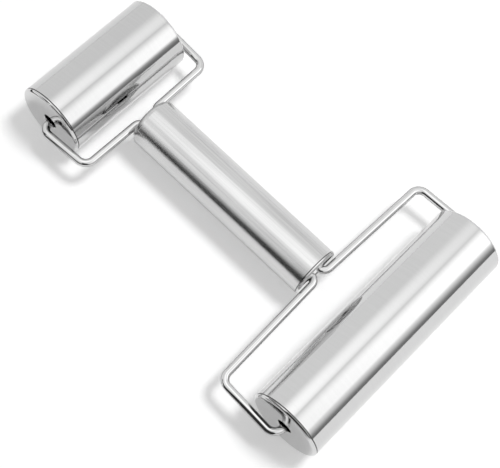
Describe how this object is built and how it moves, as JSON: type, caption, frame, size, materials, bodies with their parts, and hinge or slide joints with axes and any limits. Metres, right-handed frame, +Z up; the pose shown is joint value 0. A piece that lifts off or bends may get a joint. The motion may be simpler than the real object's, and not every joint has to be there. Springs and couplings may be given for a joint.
{
  "type": "dough hand roller",
  "caption": "Hand roller for dough and pastry: a wide drum and a narrow drum spin freely on a bent wire frame that runs through a round tube handle.",
  "frame": {"origin": "on the table under the tool, midway between the drums' outermost points and on the tool's plane of symmetry", "axes": "+X along the drums, +Y along the handle from the wide drum to the narrow one, +Z up"},
  "size_m": [0.118, 0.18, 0.0308],
  "materials": {
    "drum_polish": "mirror-polished stainless steel with a fine turned grain",
    "cap_polish": "polished stainless steel sheet",
    "handle_satin": "satin stainless steel, brushed along the tube",
    "wire_bright": "bright drawn stainless wire"
  },
  "bodies": {
    "frame": {"handle_tube": "handle_satin", "handle_end_cap": "cap_polish", "left_frame_wire": "wire_bright", "right_frame_wire": "wire_bright"},
    "large_roller": {"large_drum_shell": "drum_polish", "large_drum_left_cap": "cap_polish", "large_drum_right_cap": "cap_polish"},
    "small_roller": {"small_drum_shell": "drum_polish", "small_drum_left_cap": "cap_polish", "small_drum_right_cap": "cap_polish"}
  },
  "joints": [
    {"name": "large_roller_spin", "type": "hinge", "parent": "frame", "child": "large_roller", "pos_m": [0, -0.0746, 0.0154], "axis": [1, 0, 0], "continuous": true},
    {"name": "small_roller_spin", "type": "hinge", "parent": "frame", "child": "small_roller", "pos_m": [0, 0.0746, 0.0154], "axis": [1, 0, 0], "continuous": true}
  ]
}
